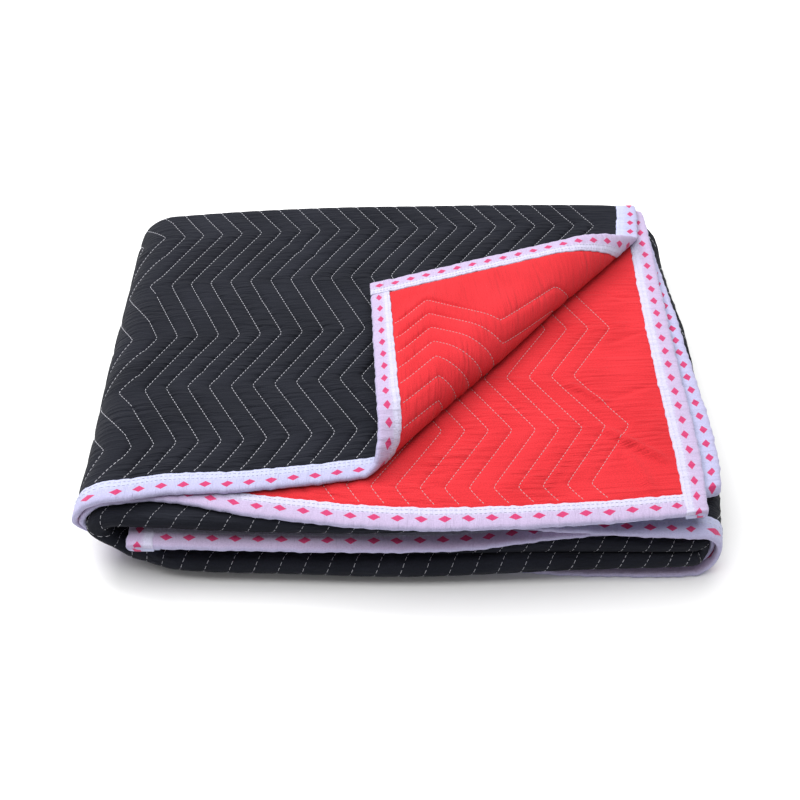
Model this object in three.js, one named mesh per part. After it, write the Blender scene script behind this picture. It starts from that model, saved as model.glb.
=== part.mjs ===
import * as THREE from "three";

// Moving pad, quilted, one black face and one red face, bound in tape on all
// four edges. It is folded in four along its length and then in three along
// its width, and lies on its last fold with one loose corner turned back.
// Sizes are in millimetres. On the flat pad, u runs across the width and v
// along the length; h is the height off the middle of the cloth, positive
// towards the black face.

// The flat pad
const PAD_WIDTH = 1829;
const PAD_LENGTH = 2032;
const HALF_THICK = 3.0;
const HALF_GAP = 0.15;
const LAYER_PITCH = 7.0;

// Binding tape
const TAPE_WIDTH = 24;
const TAPE_STEP = 2;
const TAPE_NOSE = 1.9;
const NOSE_CLEAR = 0.9;
const TAPE_CLEAR = 0.3;
const TAPE_INNER_HALF = 2.0;
const MARGIN_HALF = 1.7;

// Quilting
const ROW_PITCH = 23.5;
const ROW_START = 64;
const ZIGZAG_SWING = 45;
const ZIGZAG_STROKE = 83.7;
const ZIGZAG_START = 76;
const QUILT_DEPTH = 1.2;
const QUILT_END = 540;
const RED_QUILT_END = 330;

// Folded size and the places of the folds
const LEFT_OUT = -317;
const RIGHT_OUT = 324;
const BACK_OUT = 261;
const FREE_END_X = 291.5;
const RIGHT_FOLD_RADIUS = 15;
const STRIP_GAP = 2;
const OUTER_FOLD_RADIUS = 1.5 * LAYER_PITCH;
const INNER_FOLD_RADIUS = 0.5 * LAYER_PITCH;
const STRIP_HALF = OUTER_FOLD_RADIUS + HALF_THICK;
const BOTTOM_Z = STRIP_HALF;
const MIDDLE_Z = BOTTOM_Z + 2 * RIGHT_FOLD_RADIUS;
const TOP_Z = MIDDLE_Z + 2 * STRIP_HALF + STRIP_GAP;
const LEFT_FOLD_RADIUS = (TOP_Z - BOTTOM_Z) / 2;
const LEFT_CENTRE_X = LEFT_OUT + LEFT_FOLD_RADIUS + STRIP_HALF;
const RIGHT_CENTRE_X = RIGHT_OUT - RIGHT_FOLD_RADIUS - STRIP_HALF;
const BACK_Y = BACK_OUT - STRIP_HALF;

// Where each part of the width ends along u
const TOP_END = FREE_END_X - LEFT_CENTRE_X;
const LEFT_END = TOP_END + Math.PI * LEFT_FOLD_RADIUS;
const BOTTOM_END = LEFT_END + RIGHT_CENTRE_X - LEFT_CENTRE_X;
const RIGHT_END = BOTTOM_END + Math.PI * RIGHT_FOLD_RADIUS;

// Where each part of the length ends along v
const QUARTER = PAD_LENGTH / 4;
const OUTER_ARC_HALF = (Math.PI * OUTER_FOLD_RADIUS) / 2;
const INNER_ARC_HALF = (Math.PI * INNER_FOLD_RADIUS) / 2;
const V_OUTER_START = QUARTER - OUTER_ARC_HALF;
const V_OUTER_END = QUARTER + OUTER_ARC_HALF;
const V_FRONT_START = 2 * QUARTER - INNER_ARC_HALF;
const V_FRONT_END = 2 * QUARTER + INNER_ARC_HALF;
const V_INNER_START = 3 * QUARTER - INNER_ARC_HALF;
const V_INNER_END = 3 * QUARTER + INNER_ARC_HALF;

// How far forward the first edge, the front fold and the last edge lie
const FRONT_COLUMNS = { u: 0, first: 1, fold: 2, last: 3 };
const FRONT_TABLE = [
  [0, -150, -238, -257],
  [140, -178, -250, -270],
  [290, -207, -262, -273],
  [430, -229, -268, -256],
  [520, -235, -266, -234],
  [TOP_END, -244, -264, -240],
  [(TOP_END + LEFT_END) / 2, -238, -256, -242],
  [LEFT_END, -225, -244, -236],
  [800, -240, -264, -250],
  [950, -252, -265, -255],
  [1100, -264, -263, -255],
  [BOTTOM_END, -264, -260, -255],
  [(BOTTOM_END + RIGHT_END) / 2, -260, -254, -250],
  [RIGHT_END, -270, -262, -245],
  [1400, -260, -268, -250],
  [1530, -244, -270, -268],
  [PAD_WIDTH, -236, -262, -264],
];

// Sideways creep of the free end, layer by layer
const CREEP_COLUMNS = { v: 0, shift: 1 };
const CREEP_TABLE = [
  [0, -28],
  [350, -21],
  [QUARTER, -6],
  [2 * QUARTER, 15],
  [2.5 * QUARTER, 7],
  [3 * QUARTER, 4],
  [3.5 * QUARTER, 1],
  [PAD_LENGTH, 7],
];

// The turned-back corner: its crease runs between two points of the top layer
const CREASE_FRONT = { x: -22.4, y: -182 };
const CREASE_BACK = { x: 257.6, y: 180 };
const ROLL_RADIUS = 13;
const ROLL_DIP = 0.21;
const SETTLE_RADIUS = 60;
const FLAP_HEIGHT = 7.5;
const ROLL_PARTS = 6;

// The stack is lower towards its back left corner
const DROOP = 0.2;
const DROOP_X = 100;
const DROOP_REACH_X = 400;
const DROOP_Y = -230;
const DROOP_REACH_Y = 470;

// How finely each part is divided
const LEFT_PARTS = 7;
const RIGHT_PARTS = 5;
const OUTER_PARTS = 5;
const FRONT_PARTS = 5;
const INNER_PARTS = 4;
const SPAN_TOP = 95;
const SPAN_LOW = 120;
const SPAN_DEEP = 165;
const NEAR = 6;
const TINY = 1e-6;
const SMALL = 1e-3;
const SEARCH_FROM = -40;
const SEARCH_STEPS = 60;
const FLAP_INNER_PARTS = [1 / 3, 2 / 3];

const BLACK = 0x2b2c33;
const RED = 0xd2242c;
const TAPE_WHITE = 0xdcd5ea;

// Smooth curve through a table's rows
function lookUp(table, keyColumn, column, key) {
  const last = table.length - 1;
  let row = 0;
  while (row < last - 1 && key > table[row + 1][keyColumn]) row += 1;
  const slopeAt = (at) => {
    const before = table[Math.max(at - 1, 0)];
    const after = table[Math.min(at + 1, last)];
    return (after[column] - before[column]) / (after[keyColumn] - before[keyColumn]);
  };
  const from = table[row];
  const to = table[row + 1];
  const length = to[keyColumn] - from[keyColumn];
  const t = (key - from[keyColumn]) / length;
  if (t < 0) return from[column] + slopeAt(row) * (key - from[keyColumn]);
  if (t > 1) return to[column] + slopeAt(row + 1) * (key - to[keyColumn]);
  const rise = to[column] - from[column];
  const start = slopeAt(row) * length;
  const end = slopeAt(row + 1) * length;
  return from[column] + t * (start + t * (3 * rise - 2 * start - end + t * (start + end - 2 * rise)));
}

// Centre line of the folded strip across the width
function pathAt(u) {
  if (u <= TOP_END) return { x: FREE_END_X - u, z: TOP_Z, nx: 0, nz: 1 };
  if (u <= LEFT_END) {
    const turn = (u - TOP_END) / LEFT_FOLD_RADIUS;
    const nx = -Math.sin(turn);
    const nz = Math.cos(turn);
    const z = (TOP_Z + BOTTOM_Z) / 2 + LEFT_FOLD_RADIUS * nz;
    return { x: LEFT_CENTRE_X + LEFT_FOLD_RADIUS * nx, z, nx, nz };
  }
  if (u <= BOTTOM_END) return { x: LEFT_CENTRE_X + u - LEFT_END, z: BOTTOM_Z, nx: 0, nz: -1 };
  if (u <= RIGHT_END) {
    const turn = (u - BOTTOM_END) / RIGHT_FOLD_RADIUS;
    const nx = Math.sin(turn);
    const nz = -Math.cos(turn);
    const z = (BOTTOM_Z + MIDDLE_Z) / 2 + RIGHT_FOLD_RADIUS * nz;
    return { x: RIGHT_CENTRE_X + RIGHT_FOLD_RADIUS * nx, z, nx, nz };
  }
  return { x: RIGHT_CENTRE_X - (u - RIGHT_END), z: MIDDLE_Z, nx: 0, nz: 1 };
}

// Back-and-forth section of the four layers along the length
function sectionAt(u, v) {
  const front = (name) => lookUp(FRONT_TABLE, FRONT_COLUMNS.u, FRONT_COLUMNS[name], u);
  if (v <= V_OUTER_START) {
    const y = front("first");
    return { y: y + ((BACK_Y - y) * v) / V_OUTER_START, n: OUTER_FOLD_RADIUS, ny: 0, nn: 1 };
  }
  if (v <= V_OUTER_END) {
    const turn = (v - V_OUTER_START) / OUTER_FOLD_RADIUS;
    const ny = Math.sin(turn);
    const nn = Math.cos(turn);
    return { y: BACK_Y + OUTER_FOLD_RADIUS * ny, n: OUTER_FOLD_RADIUS * nn, ny, nn };
  }
  if (v <= V_FRONT_START) {
    const part = (v - V_OUTER_END) / (V_FRONT_START - V_OUTER_END);
    return { y: BACK_Y + (front("fold") - BACK_Y) * part, n: -OUTER_FOLD_RADIUS, ny: 0, nn: -1 };
  }
  if (v <= V_FRONT_END) {
    const turn = (v - V_FRONT_START) / INNER_FOLD_RADIUS;
    const ny = -Math.sin(turn);
    const nn = -Math.cos(turn);
    const n = -LAYER_PITCH + INNER_FOLD_RADIUS * nn;
    return { y: front("fold") + INNER_FOLD_RADIUS * ny, n, ny, nn };
  }
  if (v <= V_INNER_START) {
    const part = (v - V_FRONT_END) / (V_INNER_START - V_FRONT_END);
    const y = front("fold");
    return { y: y + (BACK_Y - y) * part, n: -INNER_FOLD_RADIUS, ny: 0, nn: 1 };
  }
  if (v <= V_INNER_END) {
    const turn = (v - V_INNER_START) / INNER_FOLD_RADIUS;
    const ny = Math.sin(turn);
    const nn = -Math.cos(turn);
    return { y: BACK_Y + INNER_FOLD_RADIUS * ny, n: INNER_FOLD_RADIUS * nn, ny: -ny, nn: -nn };
  }
  const part = (v - V_INNER_END) / (PAD_LENGTH - V_INNER_END);
  return { y: BACK_Y + (front("last") - BACK_Y) * part, n: INNER_FOLD_RADIUS, ny: 0, nn: -1 };
}

function creepAt(u, v) {
  const fade = Math.max(0, 1 - u / TOP_END);
  return fade * lookUp(CREEP_TABLE, CREEP_COLUMNS.v, CREEP_COLUMNS.shift, v);
}

// The crease of the turned corner, as a direction and a direction across it
const CREASE_LENGTH = Math.hypot(CREASE_BACK.x - CREASE_FRONT.x, CREASE_BACK.y - CREASE_FRONT.y);
const ALONG_X = (CREASE_BACK.x - CREASE_FRONT.x) / CREASE_LENGTH;
const ALONG_Y = (CREASE_BACK.y - CREASE_FRONT.y) / CREASE_LENGTH;
const ROLL_TURN = Math.PI + ROLL_DIP;
const ROLL_ARC = ROLL_RADIUS * ROLL_TURN;
const ROLL_DROP = ROLL_RADIUS * (1 + Math.cos(ROLL_DIP)) - FLAP_HEIGHT;
const SETTLE_DROP = SETTLE_RADIUS * (1 - Math.cos(ROLL_DIP));
const SLOPE_LENGTH = (ROLL_DROP - SETTLE_DROP) / Math.sin(ROLL_DIP);
const SETTLE_ARC = SETTLE_RADIUS * ROLL_DIP;

// Distance past the crease of a point of the top layer
function pastCrease(u, v) {
  const x = pathAt(u).x + creepAt(u, v) - CREASE_FRONT.x;
  const y = sectionAt(u, v).y - CREASE_FRONT.y;
  return x * ALONG_Y - y * ALONG_X;
}

// Shape of the roll and of the flap behind it, seen along the crease
function rollAt(d) {
  if (d <= ROLL_ARC) {
    const turn = d / ROLL_RADIUS;
    return { across: ROLL_RADIUS * Math.sin(turn), up: ROLL_RADIUS * (1 - Math.cos(turn)), turn };
  }
  let across = -ROLL_RADIUS * Math.sin(ROLL_DIP);
  let up = ROLL_RADIUS * (1 + Math.cos(ROLL_DIP));
  const slope = Math.min(d - ROLL_ARC, SLOPE_LENGTH);
  across -= slope * Math.cos(ROLL_DIP);
  up -= slope * Math.sin(ROLL_DIP);
  const settle = Math.min(Math.max(d - ROLL_ARC - SLOPE_LENGTH, 0), SETTLE_ARC);
  const left = ROLL_DIP - settle / SETTLE_RADIUS;
  across -= SETTLE_RADIUS * (Math.sin(ROLL_DIP) - Math.sin(left));
  up -= SETTLE_RADIUS * (Math.cos(left) - Math.cos(ROLL_DIP));
  across -= Math.max(d - ROLL_ARC - SLOPE_LENGTH - SETTLE_ARC, 0);
  return { across, up, turn: Math.PI + left };
}

// Place of a point of the flat pad on the folded pad
function placeAt(u, v, h) {
  const path = pathAt(u);
  const section = sectionAt(u, v);
  const off = section.n + h * section.nn;
  let x = path.x + off * path.nx + creepAt(u, v);
  let y = section.y + h * section.ny;
  let z = path.z + off * path.nz;
  const d = u < TOP_END && v < V_OUTER_START ? pastCrease(u, v) : 0;
  if (d > 0) {
    const roll = rollAt(d);
    const across = roll.across - h * Math.sin(roll.turn) - d;
    x += across * ALONG_Y;
    y -= across * ALONG_X;
    z += roll.up + h * (Math.cos(roll.turn) - 1);
  }
  const left = Math.max(0, (DROOP_X - x) / DROOP_REACH_X);
  const back = Math.max(0, (y - DROOP_Y) / DROOP_REACH_Y);
  return [x, y, z * (1 - DROOP * left * left * back * back)];
}

// Value between two limits at which a falling measure passes a target
function findWhere(measure, low, high, target) {
  let from = low;
  let to = high;
  for (let step = 0; step < SEARCH_STEPS; step += 1) {
    const middle = (from + to) / 2;
    if (measure(middle) > target) from = middle;
    else to = middle;
  }
  return (from + to) / 2;
}

const creaseU = (d, v) => findWhere((u) => pastCrease(u, v), SEARCH_FROM, TOP_END, d);
const creaseV = (d, u) => findWhere((v) => pastCrease(u, v), SEARCH_FROM, V_OUTER_START, d);

function spread(from, to, parts) {
  return Array.from({ length: parts + 1 }, (unused, at) => from + ((to - from) * at) / parts);
}

function spans(from, to, size) {
  return spread(from, to, Math.max(1, Math.round((to - from) / size)));
}

function distinct(values) {
  return values.sort((a, b) => a - b).filter((value, at, all) => at === 0 || value - all[at - 1] > TINY);
}

// Lines across the width shared by every face
const TAPE_END = TAPE_WIDTH + TAPE_STEP;
const U_LINES = distinct([
  0,
  TAPE_WIDTH,
  ...spans(TAPE_END, TOP_END, SPAN_TOP),
  ...spread(TOP_END, LEFT_END, LEFT_PARTS),
  ...spans(LEFT_END, BOTTOM_END, SPAN_LOW),
  ...spread(BOTTOM_END, RIGHT_END, RIGHT_PARTS),
  ...spans(RIGHT_END, PAD_WIDTH - TAPE_END, SPAN_LOW),
  PAD_WIDTH - TAPE_WIDTH,
  PAD_WIDTH,
]);

// Lines along the length: the zigzag corners of the two top layers are among them
const CORNER_COUNT = Math.floor((PAD_LENGTH - ZIGZAG_START) / ZIGZAG_STROKE) + 1;
const CORNERS = spread(0, CORNER_COUNT - 1, CORNER_COUNT - 1).map((at) => ZIGZAG_START + ZIGZAG_STROKE * at);
const FIRST_CORNERS = CORNERS.filter((v) => v < V_OUTER_START - NEAR);
const LAST_CORNERS = CORNERS.filter((v) => v > V_INNER_END + NEAR && v < PAD_LENGTH - TAPE_END);
const CREASE_END_V = creaseV(0, 0);
const V_LINES = distinct([
  0,
  TAPE_WIDTH,
  TAPE_END,
  ...FIRST_CORNERS,
  creaseV(0, TAPE_END),
  creaseV(0, TAPE_WIDTH),
  CREASE_END_V,
  ...spread(V_OUTER_START, V_OUTER_END, OUTER_PARTS),
  ...spans(V_OUTER_END, V_FRONT_START, SPAN_DEEP),
  ...spread(V_FRONT_START, V_FRONT_END, FRONT_PARTS),
  ...spans(V_FRONT_END, V_INNER_START, SPAN_DEEP),
  ...spread(V_INNER_START, V_INNER_END, INNER_PARTS),
  ...LAST_CORNERS,
  PAD_LENGTH - TAPE_END,
  PAD_LENGTH - TAPE_WIDTH,
  PAD_LENGTH,
]);

// Sideways place of a thread row, to and fro along the length
function swingAt(v) {
  const stroke = (v - ZIGZAG_START) / ZIGZAG_STROKE;
  const part = stroke - 2 * Math.floor(stroke / 2);
  return ZIGZAG_SWING * (part < 1 ? part : 2 - part);
}

// Half thickness left at a point: thin under the tape, full elsewhere
function outerHalf(u, v) {
  const inset = Math.min(u, PAD_WIDTH - u, v, PAD_LENGTH - v);
  return inset < TAPE_WIDTH + TAPE_STEP / 2 ? MARGIN_HALF : HALF_THICK;
}

function pointAt(face, key, u, v, dip) {
  const half = face.outer ? outerHalf(u, v) - dip : HALF_GAP;
  return { key, u, v, at: placeAt(u, v, face.side * half) };
}

// Points of one line across the width: a quilted line dips at every thread row
function lineAcross(face, v) {
  const start = v < CREASE_END_V ? creaseU(0, v) : 0;
  const clear = Math.max(start, TAPE_END) + NEAR;
  const quilted = face.outer && v > face.quiltFrom && v < face.quiltTo;
  const quiltEnd = quilted ? face.quiltEnd : 0;
  const plain = U_LINES.filter((u) => u > start + NEAR && (u < clear || u > quiltEnd));
  const points = [start, ...plain].map((u) => pointAt(face, u, u, v, 0));
  for (let row = 0; row * ROW_PITCH < quiltEnd; row += 1) {
    const thread = ROW_START + row * ROW_PITCH;
    const key = thread + ZIGZAG_SWING / 2;
    const dip = thread + swingAt(v);
    const crest = dip + ROW_PITCH / 2;
    if (dip > clear && crest < quiltEnd) {
      points.push(pointAt(face, key, dip, v, QUILT_DEPTH));
      points.push(pointAt(face, key + ROW_PITCH / 2, crest, v, 0));
    }
  }
  return points.sort((a, b) => a.u - b.u);
}

// Points of one row of the turned corner, from the front edge to the side edge
function flapRow(face, d) {
  const near = [0, TAPE_WIDTH, TAPE_END].filter((v) => creaseU(d, v) > v + SMALL);
  const far = [TAPE_END, TAPE_WIDTH, 0].filter((u) => creaseV(d, u) > u + SMALL);
  const from = near[near.length - 1];
  const to = creaseV(d, far[0]);
  const inner = to - from > SPAN_TOP ? FLAP_INNER_PARTS : [];
  const square = findWhere((at) => pastCrease(at, at), 0, SPAN_LOW, d);
  const onSquare = near.length < 3 && far.length < 3 ? [square] : [];
  return [
    ...near.map((v) => pointAt(face, v, creaseU(d, v), v, 0)),
    ...inner.map((part) => from + (to - from) * part).map((v) => pointAt(face, v, creaseU(d, v), v, 0)),
    ...onSquare.map((at) => pointAt(face, at + TAPE_STEP / 2, at, at, 0)),
    ...far.map((u) => pointAt(face, PAD_LENGTH - u, u, creaseV(d, u), 0)),
  ];
}

// Rows of the turned corner behind the crease, ending at its tip
const FLAP_ROWS = distinct([
  ...spread(0, ROLL_ARC, ROLL_PARTS).slice(1),
  ROLL_ARC + SLOPE_LENGTH / 2,
  ...spread(ROLL_ARC + SLOPE_LENGTH, ROLL_ARC + SLOPE_LENGTH + SETTLE_ARC, 2),
  pastCrease(TAPE_END, TAPE_END),
  pastCrease(TAPE_WIDTH, TAPE_WIDTH),
]);

function addTriangle(list, a, b, c, flip) {
  if (flip) list.push(...a.at, ...c.at, ...b.at);
  else list.push(...a.at, ...b.at, ...c.at);
}

// Strip of triangles between two lines of points, matched by their keys
function addStrip(list, lower, upper, flip) {
  let i = 0;
  let j = 0;
  while (i < lower.length - 1 || j < upper.length - 1) {
    const lowerNext = i < lower.length - 1 ? lower[i + 1].key : Infinity;
    const upperNext = j < upper.length - 1 ? upper[j + 1].key : Infinity;
    if (lowerNext <= upperNext) {
      addTriangle(list, lower[i], lower[i + 1], upper[j], flip);
      i += 1;
    } else {
      addTriangle(list, lower[i], upper[j + 1], upper[j], flip);
      j += 1;
    }
  }
}

// One face of a panel: its lines across the width and the rows of its turned corner
function faceOf(face) {
  const lines = V_LINES.map((v) => lineAcross(face, v));
  const keyed = (point) => ({ ...point, key: point.u > TAPE_END ? point.v : PAD_LENGTH - point.u });
  const crease = lines.filter((line) => line[0].v <= CREASE_END_V).map((line) => keyed(line[0]));
  const rows = [crease, ...FLAP_ROWS.map((d) => flapRow(face, d))];
  rows.push([pointAt(face, 0, 0, 0, 0)]);
  const withKey = (list, key) => list.map((point) => ({ ...point, key: key(point) }));
  const flapFront = rows.slice(1).reverse().map((row) => row[0]);
  const flapSide = rows.map((row) => row[row.length - 1]);
  const sideLines = lines.filter((line) => line[0].v > CREASE_END_V).map((line) => line[0]);
  const edges = [
    withKey([...flapFront, ...lines[0]], (point) => point.u),
    withKey(lines.map((line) => line[line.length - 1]), (point) => point.v),
    withKey([...lines[lines.length - 1]].reverse(), (point) => -point.u),
    withKey([...sideLines.reverse(), ...flapSide], (point) => -point.v),
  ];
  return { lines, rows, edges };
}

function stripsOf(list, rows, flip) {
  for (let at = 0; at < rows.length - 1; at += 1) addStrip(list, rows[at], rows[at + 1], flip);
}

// A panel is its outer face, its inner face and the narrow walls round its edge
function panelOf(side, quilt) {
  const list = [];
  const outer = faceOf({ side, outer: true, ...quilt });
  const inner = faceOf({ side, outer: false, ...quilt });
  stripsOf(list, outer.lines, false);
  stripsOf(list, outer.rows, false);
  stripsOf(list, inner.lines, true);
  stripsOf(list, inner.rows, true);
  outer.edges.forEach((edge, at) => addStrip(list, inner.edges[at], edge, false));
  return list;
}

// Cross-section of the binding tape, outer side and inner side, as inset and height
const TAPE_EDGE = TAPE_WIDTH - TAPE_STEP / 2;
const TAPE_OUTER = [
  [TAPE_EDGE, HALF_THICK],
  [-TAPE_NOSE, HALF_THICK],
  [-TAPE_NOSE, -HALF_THICK],
  [TAPE_EDGE, -HALF_THICK],
];
const TAPE_INNER = [
  [TAPE_EDGE, TAPE_INNER_HALF],
  [-NOSE_CLEAR, TAPE_INNER_HALF],
  [-NOSE_CLEAR, -TAPE_INNER_HALF],
  [TAPE_EDGE, -TAPE_INNER_HALF],
];

// A tape is its cross-section carried from station to station along an edge
function tapeOf(stations, place) {
  const list = [];
  const ring = [...TAPE_OUTER, ...[...TAPE_INNER].reverse()];
  const rows = stations.map((station) =>
    ring.map(([inset, h], key) => ({ key, at: place(station, inset, h) })),
  );
  const closed = rows.map((row) => [...row, { ...row[0], key: row.length }]);
  stripsOf(list, closed, false);
  const count = TAPE_OUTER.length;
  for (const [row, flip] of [[rows[0], true], [rows[rows.length - 1], false]]) {
    const innerSide = row.slice(count).reverse().map((point, key) => ({ ...point, key }));
    addStrip(list, row.slice(0, count), innerSide, flip);
  }
  return list;
}

const plainStations = (lines) => lines.map((line) => () => line);
const TAPE_BUTT = TAPE_WIDTH + TAPE_CLEAR;
const LAST_BUTT = PAD_LENGTH - TAPE_BUTT;
const CREASE_LAST_U = creaseU(0, -TAPE_NOSE) + NEAR;
const CREASE_LAST_V = creaseV(0, -TAPE_NOSE) + NEAR;
const ALL_ROWS = [0, ...FLAP_ROWS].reverse();

// Stations of the four tapes
const START_STATIONS = [
  () => -TAPE_NOSE,
  ...ALL_ROWS.filter((d) => creaseU(d, TAPE_WIDTH) > NEAR).map((d) => (inset) => creaseU(d, inset)),
  ...plainStations(U_LINES.filter((u) => u > CREASE_LAST_U && u < PAD_WIDTH)),
  () => PAD_WIDTH + TAPE_NOSE,
];
const END_STATIONS = plainStations([
  -TAPE_NOSE,
  ...U_LINES.filter((u) => u > 0 && u < PAD_WIDTH),
  PAD_WIDTH + TAPE_NOSE,
]);
const SIDE_ROWS = ALL_ROWS.filter((d) => creaseV(d, TAPE_WIDTH) > TAPE_BUTT + NEAR);
const FREE_STATIONS = [
  () => TAPE_BUTT,
  ...SIDE_ROWS.map((d) => (inset) => creaseV(d, inset)),
  ...plainStations(V_LINES.filter((v) => v > CREASE_LAST_V && v < LAST_BUTT)),
  () => LAST_BUTT,
];
const HIDDEN_STATIONS = plainStations([
  TAPE_BUTT,
  ...V_LINES.filter((v) => v > TAPE_BUTT && v < LAST_BUTT),
  LAST_BUTT,
]);

// Geometry of a closed body from its triangles, facing outwards
function bodyOf(list) {
  let volume = 0;
  for (let at = 0; at < list.length; at += 9) {
    const [ax, ay, az, bx, by, bz, cx, cy, cz] = list.slice(at, at + 9);
    volume += ax * (by * cz - bz * cy) + ay * (bz * cx - bx * cz) + az * (bx * cy - by * cx);
  }
  const corners = [...list];
  if (volume < 0) {
    for (let at = 0; at < corners.length; at += 9) {
      const second = corners.slice(at + 3, at + 6);
      corners.splice(at + 3, 6, ...corners.slice(at + 6, at + 9), ...second);
    }
  }
  const geometry = new THREE.BufferGeometry();
  geometry.setAttribute("position", new THREE.Float32BufferAttribute(corners, 3));
  geometry.computeVertexNormals();
  return geometry;
}

const pad = new THREE.Group();
pad.name = "moving_pad";

function addBody(name, colour, list) {
  const material = new THREE.MeshStandardMaterial({ color: colour, roughness: 0.9 });
  const mesh = new THREE.Mesh(bodyOf(list), material);
  mesh.name = name;
  pad.add(mesh);
}

const BLACK_QUILT = { quiltFrom: TAPE_END + NEAR, quiltTo: V_OUTER_START - NEAR, quiltEnd: QUILT_END };
const RED_QUILT = {
  quiltFrom: V_INNER_END + NEAR,
  quiltTo: PAD_LENGTH - TAPE_END - SMALL,
  quiltEnd: RED_QUILT_END,
};
addBody("black_panel", BLACK, panelOf(1, BLACK_QUILT));
addBody("red_panel", RED, panelOf(-1, RED_QUILT));
const startPlace = (station, inset, h) => placeAt(station(inset), inset, h);
const endPlace = (station, inset, h) => placeAt(station(), PAD_LENGTH - inset, h);
const freePlace = (station, inset, h) => placeAt(inset, station(inset), h);
const hiddenPlace = (station, inset, h) => placeAt(PAD_WIDTH - inset, station(), h);
addBody("start_tape", TAPE_WHITE, tapeOf(START_STATIONS, startPlace));
addBody("end_tape", TAPE_WHITE, tapeOf(END_STATIONS, endPlace));
addBody("free_side_tape", TAPE_WHITE, tapeOf(FREE_STATIONS, freePlace));
addBody("inner_side_tape", TAPE_WHITE, tapeOf(HIDDEN_STATIONS, hiddenPlace));

// The middle of the folded pad goes over the origin, its underside on the ground
const middle = new THREE.Box3().setFromObject(pad).getCenter(new THREE.Vector3());
for (const mesh of pad.children) mesh.geometry.translate(-middle.x, -middle.y, 0);

export default pad;
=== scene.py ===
"""Folded, quilted moving pad with one corner turned back, on a pale floor."""

import math

import bpy
import numpy as np
from mathutils import Matrix


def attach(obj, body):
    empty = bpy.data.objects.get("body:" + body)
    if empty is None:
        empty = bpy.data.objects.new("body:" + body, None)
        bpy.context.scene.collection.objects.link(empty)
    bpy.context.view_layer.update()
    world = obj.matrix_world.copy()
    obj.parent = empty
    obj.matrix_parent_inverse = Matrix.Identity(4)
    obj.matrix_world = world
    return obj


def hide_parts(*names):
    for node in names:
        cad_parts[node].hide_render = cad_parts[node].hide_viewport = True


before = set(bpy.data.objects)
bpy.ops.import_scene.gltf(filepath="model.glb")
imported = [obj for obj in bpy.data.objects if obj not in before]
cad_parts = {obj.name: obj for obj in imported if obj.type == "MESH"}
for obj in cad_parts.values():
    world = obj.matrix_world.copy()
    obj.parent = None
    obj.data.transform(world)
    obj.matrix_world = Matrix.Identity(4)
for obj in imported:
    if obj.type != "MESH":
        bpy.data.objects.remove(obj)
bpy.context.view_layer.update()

# Sizes of the flat pad, in millimetres
PAD_WIDTH = 1829.0
PAD_LENGTH = 2032.0
HALF_THICK = 3.0
LAYER_PITCH = 7.0
TAPE_WIDTH = 24.0
MM = 0.001

# Quilting
ROW_PITCH = 23.5
ROW_START = 64.0
ZIGZAG_SWING = 46.0
ZIGZAG_SHARPNESS = 0.997
PUFF = 1.1
PUFF_POWER = 0.8
DIP = 2.0
DIP_WIDTH = 2.6
FACE_INSET = 0.5
EDGE_CALM = 14.0
TAPE_TUCK = 0.9
TAPE_TUCK_BAND = (TAPE_WIDTH - 1, TAPE_WIDTH + 3)
FOLD_RELIEF = 0.3
ROLL_RELIEF = 0.45
FOLD_CALM = 45.0
UNEVEN = 0.9
UNEVEN_EDGE = 20.0
SLIDE_NEAR = (22.0, ROW_START - 2)
SLIDE_FAR = (PAD_WIDTH - 120, PAD_WIDTH - TAPE_WIDTH)
ROW_FRACTIONS = (0.0, 0.055, 0.13, 0.27, 0.42, 0.58, 0.73, 0.87, 0.945)
COARSE_FRACTIONS = (0.0, 0.12, 0.5, 0.88)

# Folded size and the places of the folds
LEFT_OUT = -317.0
RIGHT_OUT = 324.0
BACK_OUT = 261.0
FREE_END_X = 291.5
RIGHT_FOLD_RADIUS = 15.0
STRIP_GAP = 2.0
MIDDLE_X = 3.34
MIDDLE_Y = -7.86
OUTER_FOLD_RADIUS = 1.5 * LAYER_PITCH
INNER_FOLD_RADIUS = 0.5 * LAYER_PITCH
FRONT_FOLD_RADIUS = 6.5
BULGE_REACH = 30.0
STRIP_HALF = OUTER_FOLD_RADIUS + HALF_THICK
BOTTOM_Z = STRIP_HALF
MIDDLE_Z = BOTTOM_Z + 2 * RIGHT_FOLD_RADIUS
TOP_Z = MIDDLE_Z + 2 * STRIP_HALF + STRIP_GAP
LEFT_FOLD_RADIUS = (TOP_Z - BOTTOM_Z) / 2
LEFT_CENTRE_X = LEFT_OUT + LEFT_FOLD_RADIUS + STRIP_HALF
RIGHT_CENTRE_X = RIGHT_OUT - RIGHT_FOLD_RADIUS - STRIP_HALF
BACK_Y = BACK_OUT - STRIP_HALF

# Where each part of the width ends along u, and of the length along v
TOP_END = FREE_END_X - LEFT_CENTRE_X
LEFT_END = TOP_END + math.pi * LEFT_FOLD_RADIUS
BOTTOM_END = LEFT_END + RIGHT_CENTRE_X - LEFT_CENTRE_X
RIGHT_END = BOTTOM_END + math.pi * RIGHT_FOLD_RADIUS
QUARTER = PAD_LENGTH / 4
OUTER_ARC_HALF = math.pi * OUTER_FOLD_RADIUS / 2
INNER_ARC_HALF = math.pi * INNER_FOLD_RADIUS / 2
V_OUTER_START = QUARTER - OUTER_ARC_HALF
V_OUTER_END = QUARTER + OUTER_ARC_HALF
FRONT_ARC_HALF = math.pi * FRONT_FOLD_RADIUS / 2
V_FRONT_START = 2 * QUARTER - FRONT_ARC_HALF
V_FRONT_END = 2 * QUARTER + FRONT_ARC_HALF
V_INNER_START = 3 * QUARTER - INNER_ARC_HALF
V_INNER_END = 3 * QUARTER + INNER_ARC_HALF

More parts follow.
